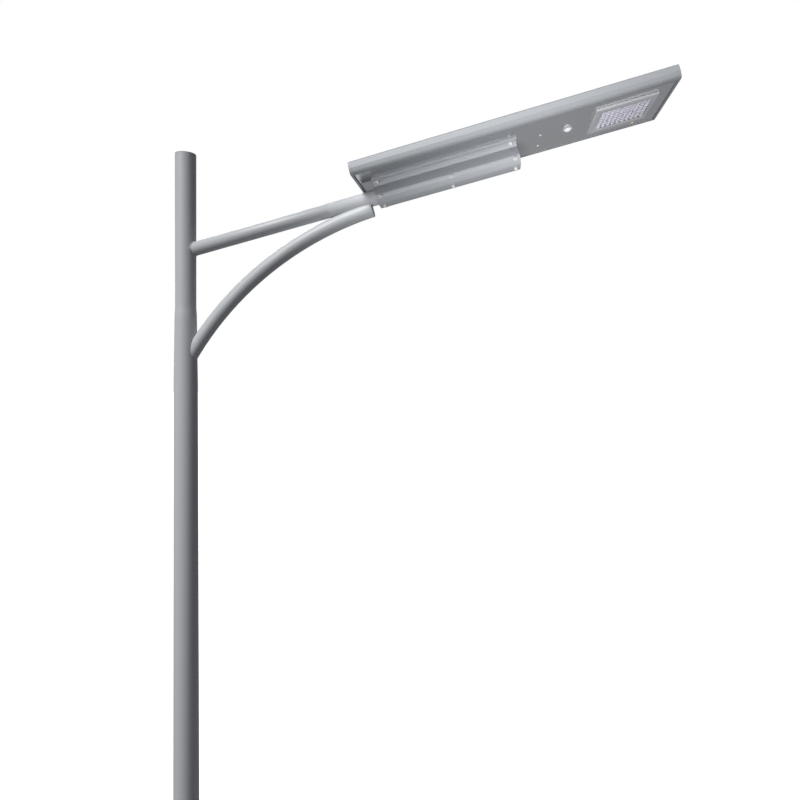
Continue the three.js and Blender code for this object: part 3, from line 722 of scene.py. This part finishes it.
class LAMP_OT_fasteners(LampOperator, bpy.types.Operator):
    """Clamp bolts with nuts, socket-head clamp screws, end cap screws and panel screws"""

    bl_idname = "lamp.fasteners"
    bl_label = "Fasteners"

    face_depth = 0.05 * MM  # corners this near the outermost one lie on the screw's outer face

    @staticmethod
    def reach(node, outward):
        """How far each corner of a CAD node lies along a direction."""
        return [v.co.dot(outward) for v in frame["nodes"][node].data.vertices]

    def axis_frame(self, node, outward):
        """A frame with Z outwards and its origin in the middle of the screw's outer face."""
        corners = [v.co for v in frame["nodes"][node].data.vertices]
        reach = self.reach(node, outward)
        tip = [c for c, d in zip(corners, reach) if d > max(reach) - self.face_depth]
        turn = outward.to_track_quat("Z", "Y").to_matrix().to_4x4()
        return Matrix.Translation(sum(tip, Vector()) / len(tip)) @ turn

    @staticmethod
    def socket_screw(bm, length):
        """Cylinder head with a hex socket; Z = 0 is the head's face."""
        head_r, head, shank = 6.5 * MM, 8 * MM, 4 * MM
        tip, chamfer, rim = 2.6 * MM, 1.5 * MM, 0.7 * MM
        mouth, sunk, hex_r, hex_depth = 4.1 * MM, 0.35 * MM, 3.46 * MM, 4 * MM
        lathe(bm, [
            (0, -length), (tip, -length), (shank, -length + chamfer), (shank, -head),
            (head_r, -head), (head_r, -rim), (head_r - rim, 0), (mouth, 0), (mouth - sunk, -sunk),
        ], 36)
        mouth_edges = [e for e in bm.edges if e.is_boundary]
        hexagon = bmesh.ops.create_circle(bm, cap_ends=False, segments=6, radius=hex_r)["verts"]
        sides = once_each(e for v in hexagon for e in v.link_edges)
        bmesh.ops.translate(bm, vec=(0, 0, -sunk), verts=hexagon)
        bmesh.ops.subdivide_edges(bm, edges=sides, cuts=5)  # as many edges as the mouth has
        loose = [e for e in bm.edges if not e.link_faces]
        bmesh.ops.bridge_loops(bm, edges=mouth_edges + loose)
        wall = bmesh.ops.extrude_edge_only(bm, edges=loose)
        deep = [v for v in wall["geom"] if isinstance(v, bmesh.types.BMVert)]
        bmesh.ops.translate(bm, vec=(0, 0, -hex_depth), verts=deep)
        floor = bmesh.ops.edgeloop_fill(bm, edges=[e for e in bm.edges if e.is_boundary])
        # the socket's wall and floor take the second slot: the near-black painted shade
        for face in [f for v in deep for f in v.link_faces] + floor["faces"]:
            face.material_index = 1

    @staticmethod
    def hex_bolt(bm):
        """Washer, spring washer, chamfered hex nut and stud end; Z = 0 is the stud's face."""
        stud = [(0, 0), (3.2, 0), (3.9, -0.7), (3.9, -5), (0, -5)]
        spring_washer = [(4.05, -10.2), (6.3, -10.2), (6.5, -10.6), (6.5, -11.6), (6.3, -11.8)]
        spring_washer += [(4.05, -11.8), (4.05, -10.2)]
        washer = [(4.05, -11.8), (7.8, -11.8), (8, -12), (8, -12.8), (7.8, -13)]
        washer += [(4.05, -13), (4.05, -11.8)]
        for profile, steps in ((stud, 24), (spring_washer, 28), (washer, 32)):
            lathe(bm, in_mm(profile), steps)
        nut_r, nut_height, nut_middle, chamfer = 7.4 * MM, 6.2 * MM, -7.1 * MM, 0.7 * MM
        nut = bmesh.ops.create_cone(
            bm, cap_ends=True, cap_tris=False, segments=6, radius1=nut_r, radius2=nut_r,
            depth=nut_height,
        )["verts"]
        bmesh.ops.translate(bm, vec=(0, 0, nut_middle), verts=nut)
        ends = once_each(f for v in nut for f in v.link_faces if len(f.verts) == 6)
        round_edges(bm, once_each(e for f in ends for e in f.edges), chamfer, 2)

    @staticmethod
    def dome_screw(bm):
        """Domed head with a dimple in its crown; Z = 0 is the crown."""
        head_r, head, shank, length = 4.2 * MM, 2.7 * MM, 2 * MM, 4 * MM
        profile = [(0, -head - length), (shank, -head - length), (shank, -head), (head_r, -head)]
        for i in range(1, 6):
            a = i * math.pi / 10
            profile.append((head_r * math.cos(a), -head + head * math.sin(a)))
        lathe(bm, profile + in_mm([(0.9, -0.1), (0.8, -1.2), (0, -1.4)]), 24)

    def screw(self, node, outward, steel, shape, *shape_sizes):
        """One fastener of the given shape, in the place of its CAD node."""
        bm = bmesh.new()
        shape(bm, *shape_sizes)
        place = self.axis_frame(node, outward)
        return finish_piece(f"{node}_steel", bm, "head", steel, [node], place)

    def execute(self, context):
        steel = fastener_steel()
        recess = painted_recess_shade()
        to_world = HEAD_FRAME.to_3x3()
        axis_line = HEAD_FRAME @ Vector((0, 0, SOCKET_AXIS))
        down = to_world @ Vector((0, 0, -1))
        for group in ("side_screw_near", "side_screw_far", "under_screw"):
            for i in range(1, 4):
                node = f"{group}_{i}"
                corners = [v.co for v in frame["nodes"][node].data.vertices]
                out = sum(corners, Vector()) / len(corners) - axis_line
                out -= ARM_ALONG * out.dot(ARM_ALONG)
                out.normalize()
                reach = self.reach(node, out)
                length = max(reach) - min(reach)
                made = self.screw(node, out, steel, self.socket_screw, length)
                # second slot: the painted shade inside the hex socket
                made.data.materials.append(recess)
        for i in range(1, 5):
            self.screw(f"clamp_bolt_{i}", down, steel, self.hex_bolt)
        for i in range(1, 5):
            toward_end = to_world @ Vector((-1 if i < 3 else 1, 0, 0))
            self.screw(f"end_cap_screw_{i}", toward_end, steel, self.dome_screw)
        for i in (1, 2):
            self.screw(f"controller_screw_{i}", down, steel, self.dome_screw)
        return {"FINISHED"}


class LAMP_OT_housing(LampOperator, bpy.types.Operator):
    """Side profiles, end caps and bottom panel"""

    bl_idname = "lamp.housing"
    bl_label = "Housing"

    def side_outline(self):
        """Half of the housing's section: rolled lower lip, two-facet bulge, upper lip, inner wall."""
        half = HEAD_HALF / MM
        outer = [(160, -2.5), (171, -2.5), (175.4, -1.6), (178.7, 0.6), (180.9, 4.4)]
        outer += [(half - 0.75, 8.5), (half - 0.68, 9.5), (half - 0.07, 18.2), (half, 19.2)]
        outer += [(half - 0.12, 20.2), (half - 2.28, 38), (half - 2.45, 39)]
        outer += [(177.6, 42.1), (175.6, 44.4), (172.5, 45.5), (160, 45.5)]
        inner = [(160, 43.5), (173.6, 43.5), (175.8, 41), (176.9, 36.5), (160, 36.5), (160, 34.5)]
        inner += [(178, 34.5), (179.8, 20), (179.8, 16), (178.6, 7), (176, 3), (172.4, -0.3), (160, -0.3)]
        return [(across * MM, up * MM) for across, up in outer + inner]

    def execute(self, context):
        metal = profile_metal()
        for node, side in (("side_profile_near", -1), ("side_profile_far", 1)):
            low, high = local_box(node, HEAD_FRAME)
            bm = bmesh.new()
            points = [(side * across, up) for across, up in self.side_outline()]
            extrude_outline(bm, points, low.x, high.x)
            name = f"{node}_rail"
            finish_piece(name, bm, "head", metal, [node], HEAD_FRAME, sharp=36)
        for node in ("end_cap_pole_side", "end_cap_lamp_side"):
            bm = refined(node, edge=1.4 * MM, crease=60)
            finish_piece(f"{node}_plate", bm, "head", metal, [node])
        bm = refined("bottom_panel", edge=0.5 * MM)
        finish_piece("bottom_sheet", bm, "head", panel_metal(), ["bottom_panel"])
        return {"FINISHED"}


class LAMP_OT_solar_module(LampOperator, bpy.types.Operator):
    """Glass, cells with their ribbons, gasket and back tray"""

    bl_idname = "lamp.solar_module"
    bl_label = "Solar module"

    gap = 3 * MM
    margin = 8 * MM
    corner = 9 * MM
    thickness = 0.25 * MM
    ribbon_half = 0.8 * MM
    ribbon_spread = 0.3  # of a cell's pitch, from its middle to its outer ribbons

    def execute(self, context):
        low, high = local_box("solar_cell_sheet", HEAD_FRAME)
        base = bmesh.new()
        rounded_box(base, low, (high.x, high.y, high.z - 2 * self.thickness), 0.1 * MM)
        finish_piece("cell_base_sheet", base, "head", back_sheet(), ["solar_cell_sheet"],
                     HEAD_FRAME)

        columns, rows = sizes().cell_columns, sizes().cell_rows
        pitch_x = (high.x - low.x - 2 * self.margin) / columns
        pitch_y = (high.y - low.y - 2 * self.margin) / rows
        cell_low = high.z - 2 * self.thickness
        cells, ribbons = bmesh.new(), bmesh.new()
        for row in range(rows):
            y = low.y + self.margin + (row + 0.5) * pitch_y
            for column in range(columns):
                x = low.x + self.margin + (column + 0.5) * pitch_x
                made = bmesh.ops.create_cube(cells, size=1)["verts"]
                size = (pitch_x - self.gap, pitch_y - self.gap, self.thickness)
                bmesh.ops.scale(cells, vec=size, verts=made)
                bmesh.ops.translate(cells, vec=(x, y, cell_low + self.thickness / 2), verts=made)
                upright = [
                    e for e in once_each(e for v in made for e in v.link_edges)
                    if abs(e.verts[0].co.z - e.verts[1].co.z) > self.thickness / 2
                ]
                round_edges(cells, upright, self.corner, 1)
            for side in (-1, 0, 1):
                middle = y + side * pitch_y * self.ribbon_spread
                made = bmesh.ops.create_cube(ribbons, size=1)["verts"]
                size = (high.x - low.x - 2 * self.margin, 2 * self.ribbon_half, self.thickness)
                bmesh.ops.scale(ribbons, vec=size, verts=made)
                place = ((low.x + high.x) / 2, middle, cell_low + 1.5 * self.thickness)
                bmesh.ops.translate(ribbons, vec=place, verts=made)
        finish_piece("solar_cells", cells, "head", cell_silicon(), matrix=HEAD_FRAME)
        finish_piece("cell_ribbons", ribbons, "head", ribbon_metal(),
                     matrix=HEAD_FRAME)

        bm = refined("solar_glass", edge=0.6 * MM)
        finish_piece("cover_glass", bm, "head", solar_glass(), ["solar_glass"])
        bm = refined("glass_gasket", edge=0.4 * MM)
        finish_piece("gasket_ring", bm, "head", rubber(), ["glass_gasket"])
        dress("solar_back_tray", back_sheet())
        return {"FINISHED"}


class LAMP_OT_lamp_module(LampOperator, bpy.types.Operator):
    """Raised frame, lens array, chips, board and heat sink"""

    bl_idname = "lamp.lamp_module"
    bl_label = "Lamp module"

    window = 6 * MM  # the plate's margin under the frame's edge
    lens_share = (0.47, 0.45)  # half a lens, as shares of the pitch along and across
    lens_height = 3.6 * MM
    lens_sunk = 0.2 * MM
    chip = 3 * MM
    chip_flatness = 0.08

    def execute(self, context):
        bm = refined("led_bezel", edge=0.9 * MM)
        finish_piece("module_frame", bm, "head", frame_metal(), ["led_bezel"])

        low, high = local_box("led_lens_plate", HEAD_FRAME)
        columns, rows = sizes().lens_columns, sizes().lens_rows
        pitch_x = (high.x - low.x - 2 * self.window) / columns
        pitch_y = (high.y - low.y - 2 * self.window) / rows
        bm = bmesh.new()
        rounded_box(bm, low, high, 0.4 * MM)
        half_x, half_y = self.lens_share[0] * pitch_x, self.lens_share[1] * pitch_y
        chips = bmesh.new()
        board_face = local_box("led_board", HEAD_FRAME)[0].z
        for column in range(columns):
            x = low.x + self.window + (column + 0.5) * pitch_x
            for row in range(rows):
                y = low.y + self.window + (row + 0.5) * pitch_y
                self.lens(bm, (x, y, low.z + self.lens_sunk), half_x, half_y, self.lens_height)
                made = bmesh.ops.create_cube(chips, size=self.chip)["verts"]
                bmesh.ops.scale(chips, vec=(1, 1, self.chip_flatness), verts=made)
                bmesh.ops.translate(chips, vec=(x, y, board_face), verts=made)
        finish_piece("lens_array", bm, "head", lens_plastic(), ["led_lens_plate"],
                     HEAD_FRAME, sharp=45)
        finish_piece("lamp_chips", chips, "head", chip_phosphor(), matrix=HEAD_FRAME)
        dress("led_board", board_white())
        bm = refined("led_heat_sink", edge=0.3 * MM, segments=1)
        finish_piece("heat_sink", bm, "head", clamp_metal(), ["led_heat_sink"])
        return {"FINISHED"}

    @staticmethod
    def lens(bm, top, half_x, half_y, height):
        """One oval lens hanging below the plate: the lower half of a sphere."""
        made = bmesh.ops.create_uvsphere(bm, u_segments=10, v_segments=6, radius=1)["verts"]
        above = [v for v in made if v.co.z > 0.01]
        bmesh.ops.delete(bm, geom=above, context="VERTS")
        dome = [v for v in made if v.is_valid]
        rim = once_each(e for v in dome for e in v.link_edges if e.is_boundary)
        bmesh.ops.edgeloop_fill(bm, edges=rim)
        bmesh.ops.scale(bm, vec=(half_x, half_y, height), verts=dome)
        bmesh.ops.translate(bm, vec=top, verts=dome)


class LAMP_OT_sensor(LampOperator, bpy.types.Operator):
    """Motion sensor dome with its ring, and the status lens"""

    bl_idname = "lamp.sensor"
    bl_label = "Sensor"

    bands = 7
    dome_lip = 1.2 * MM  # the dome's straight foot
    sunk = 0.3 * MM  # the gap to the panel and between dome and ring
    neck_r = 7 * MM

    def execute(self, context):
        low, high = local_box("sensor_dome", HEAD_FRAME)
        centre = Vector(((low.x + high.x) / 2, 0, 0))
        radius, height = (high.y - low.y) / 2, -low.z
        profile = [(0, -height)]
        lip, sunk = self.dome_lip, self.sunk
        for i in range(1, self.bands + 1):
            a = i * math.pi / 2 / self.bands
            profile.append((radius * math.sin(a), -lip - (height - lip) * math.cos(a)))
        profile += [(radius, -sunk), (self.neck_r, -sunk), (self.neck_r, high.z), (0, high.z)]
        bm = bmesh.new()
        lathe(bm, profile, 24)
        at_centre = HEAD_FRAME @ Matrix.Translation(centre)
        finish_piece("sensor_lens", bm, "head", dome_plastic(), ["sensor_dome"], at_centre,
                     sharp=60)

        ring_low, ring_high = local_box("sensor_ring", HEAD_FRAME)
        r, h = (ring_high.y - ring_low.y) / 2, -ring_low.z
        inner = radius + sunk
        bm = bmesh.new()
        lathe(bm, [
            (inner, -sunk), (inner, -h + 0.4 * MM), (inner + 0.4 * MM, -h), (r - 1.8 * MM, -h),
            (r - 0.7 * MM, -h + 0.5 * MM), (r, -h + 1.8 * MM), (r, -sunk), (inner, -sunk),
        ], 48)
        finish_piece("sensor_bezel", bm, "head", ring_plastic(), ["sensor_ring"], at_centre)
        bm = refined("status_lens", edge=0.3 * MM, crease=50)
        finish_piece("status_light", bm, "head", amber_plastic(), ["status_lens"], sharp=50)
        dress("sensor_board", board_green())
        return {"FINISHED"}


class LAMP_OT_inside(LampOperator, bpy.types.Operator):
    """Battery packs, straps, charge controller and cables inside the housing"""

    bl_idname = "lamp.inside"
    bl_label = "Inside"

    def execute(self, context):
        film = battery_film()
        for side in ("near", "far"):
            node = f"battery_pack_{side}"
            bm = refined(node, edge=2 * MM, crease=50)
            finish_piece(f"battery_{side}", bm, "head", film, [node], sharp=50)
        for i in (1, 2):
            bm = refined(f"battery_strap_{i}", edge=0.3 * MM, segments=1)
            finish_piece(f"strap_{i}", bm, "head", strap_metal(), [f"battery_strap_{i}"])
        bm = refined("charge_controller", edge=2 * MM)
        finish_piece("controller_box", bm, "head", controller_case(), ["charge_controller"])
        for name in ("battery_cable", "panel_cable", "led_cable"):
            dress(name, cable_sheath())
        return {"FINISHED"}


class LAMP_OT_stage(LampOperator, bpy.types.Operator):
    """Pale floor, lights, surroundings and the camera"""

    bl_idname = "lamp.stage"
    bl_label = "Stage"

    camera_place = (1.243, -2.383, 3.163)
    camera_heading = math.radians(8.44)
    camera_pitch = math.radians(-3.10)
    camera_roll = math.radians(1.01)
    lens = 27.86
    sensor_width = 36
    key_direction = Vector((-0.40, -0.62, 0.68))
    key_strength = 3.3
    key_angle = math.radians(28)
    back_direction = Vector((-0.35, 0.75, 0.56))
    back_strength = 1.1
    fill_place = (1.1, -2.4, 2.3)
    fill_power = 520
    fill_cone = math.radians(27)
    fill_blend = 0.6
    fill_soft = 0.5
    aim = Vector((1.42, 0, 3.94))
    tint = (0.94, 0.965, 1.0, 1)
    around = (0.28, 0.06)
    below = (0.26, 0.19)
    floor_half = 60
    floor_grey = (0.5, 0.5, 0.5, 1)
    floor_near = (1.0, 0.80)  # distance from the pole and the glow there
    floor_far = (7.0, 1.0)

    def sun(self, name, direction, strength):
        data = bpy.data.lights.new(name, "SUN")
        data.angle = self.key_angle
        data.energy = strength
        light = bpy.data.objects.new(name, data)
        light.rotation_euler = direction.to_track_quat("Z", "Y").to_euler()
        bpy.context.scene.collection.objects.link(light)

    def head_fill(self):
        """Soft light on the head, from in front and below."""
        data = bpy.data.lights.new("head fill", "SPOT")
        data.energy = self.fill_power
        data.spot_size = self.fill_cone
        data.spot_blend = self.fill_blend
        data.shadow_soft_size = self.fill_soft
        light = bpy.data.objects.new("head fill", data)
        light.location = self.fill_place
        toward = Vector(self.fill_place) - self.aim
        light.rotation_euler = toward.to_track_quat("Z", "Y").to_euler()
        light.visible_glossy = False
        bpy.context.scene.collection.objects.link(light)

    def by_ray(self, tree, seen, kind, strengths, output):
        """What the camera sees, what mirrors see, and what lights dull surfaces."""
        mirrored, dull = strengths
        path = add(tree, "LightPath")
        gloss = add(tree, kind, {"Color": self.tint, "Strength": mirrored})
        fill = add(tree, kind, {"Color": self.tint, "Strength": dull})
        unseen = add(tree, "MixShader")
        pick = add(tree, "MixShader")
        link = tree.links.new
        link(path.outputs["Is Glossy Ray"], unseen.inputs[0])
        link(fill.outputs[0], unseen.inputs[1])
        link(gloss.outputs[0], unseen.inputs[2])
        link(path.outputs["Is Camera Ray"], pick.inputs[0])
        link(unseen.outputs[0], pick.inputs[1])
        link(seen.outputs[0], pick.inputs[2])
        link(pick.outputs[0], tree.nodes[output].inputs["Surface"])

    def floor(self):
        bm = bmesh.new()
        bmesh.ops.create_grid(bm, x_segments=1, y_segments=1, size=self.floor_half)
        mesh = bpy.data.meshes.new("floor")
        bm.to_mesh(mesh)
        bm.free()
        plane = bpy.data.objects.new("floor", mesh)
        bpy.context.scene.collection.objects.link(plane)
        material, tree, shader = base_material("Pale floor", Roughness=0.9, Specular_IOR_Level=0.0)
        shader.inputs["Base Color"].default_value = self.floor_grey
        glow = add(tree, "Emission", {"Color": (1, 1, 1, 1)})
        place = add(tree, "TexCoord")
        away = add(tree, "VectorMath", operation="LENGTH")
        (near, dim), (far, bright) = self.floor_near, self.floor_far
        fade = add(tree, "MapRange", {
            "From Min": near, "From Max": far, "To Min": dim, "To Max": bright,
        })
        seen = add(tree, "AddShader")
        link = tree.links.new
        link(place.outputs["Object"], away.inputs[0])
        link(away.outputs["Value"], fade.inputs["Value"])
        link(fade.outputs["Result"], glow.inputs["Strength"])
        link(shader.outputs[0], seen.inputs[0])
        link(glow.outputs[0], seen.inputs[1])
        self.by_ray(tree, seen, "Emission", self.below, "Material Output")
        mesh.materials.append(material)

    def surroundings(self):
        world = bpy.data.worlds.new("Studio")
        bpy.context.scene.world = world
        world.use_nodes = True
        tree = world.node_tree
        white = tree.nodes["Background"]
        white.inputs["Color"].default_value = (1, 1, 1, 1)
        self.by_ray(tree, white, "Background", self.around, "World Output")

    def execute(self, context):
        data = bpy.data.cameras.new("camera")
        data.lens = self.lens
        data.sensor_width = self.sensor_width
        camera = bpy.data.objects.new("camera", data)
        camera.location = self.camera_place
        turn = (
            Matrix.Rotation(self.camera_heading, 3, "Z")
            @ Matrix.Rotation(math.pi / 2 + self.camera_pitch, 3, "X")
            @ Matrix.Rotation(self.camera_roll, 3, "Z")
        )
        camera.rotation_euler = turn.to_euler()
        context.scene.collection.objects.link(camera)
        context.scene.camera = camera
        self.floor()
        self.surroundings()
        self.sun("key", self.key_direction, self.key_strength)
        self.sun("back", self.back_direction, self.back_strength)
        self.head_fill()
        context.scene.view_settings.view_transform = "Standard"
        return {"FINISHED"}


class LAMP_PT_panel(bpy.types.Panel):
    """Lists the lamp's operators and settings in the sidebar"""

    bl_label = "Street Lamp"
    bl_idname = "LAMP_PT_panel"
    bl_space_type = "VIEW_3D"
    bl_region_type = "UI"
    bl_category = "Street Lamp"

    def draw(self, context):
        layout = self.layout
        for group in (context.scene.lamp_sizes, context.scene.lamp_colours):
            box = layout.box()
            for name in group.bl_rna.properties.keys():
                if name not in {"rna_type", "name"}:
                    box.prop(group, name)
        for operator in OPERATORS:
            layout.operator(operator.bl_idname)


OPERATORS = (
    LAMP_OT_stage,
    LAMP_OT_pole,
    LAMP_OT_base,
    LAMP_OT_arm,
    LAMP_OT_clamp,
    LAMP_OT_fasteners,
    LAMP_OT_housing,
    LAMP_OT_solar_module,
    LAMP_OT_lamp_module,
    LAMP_OT_sensor,
    LAMP_OT_inside,
)
CLASSES = (LampSizes, LampColours, *OPERATORS, LAMP_PT_panel)


def register():
    for item in CLASSES:
        bpy.utils.register_class(item)
    bpy.types.Scene.lamp_sizes = PointerProperty(type=LampSizes)
    bpy.types.Scene.lamp_colours = PointerProperty(type=LampColours)


def unregister():
    del bpy.types.Scene.lamp_colours
    del bpy.types.Scene.lamp_sizes
    for item in reversed(CLASSES):
        bpy.utils.unregister_class(item)


def main():
    register()
    for operator in OPERATORS:
        group, name = operator.bl_idname.split(".")
        getattr(getattr(bpy.ops, group), name)()


if __name__ == "__main__":
    main()
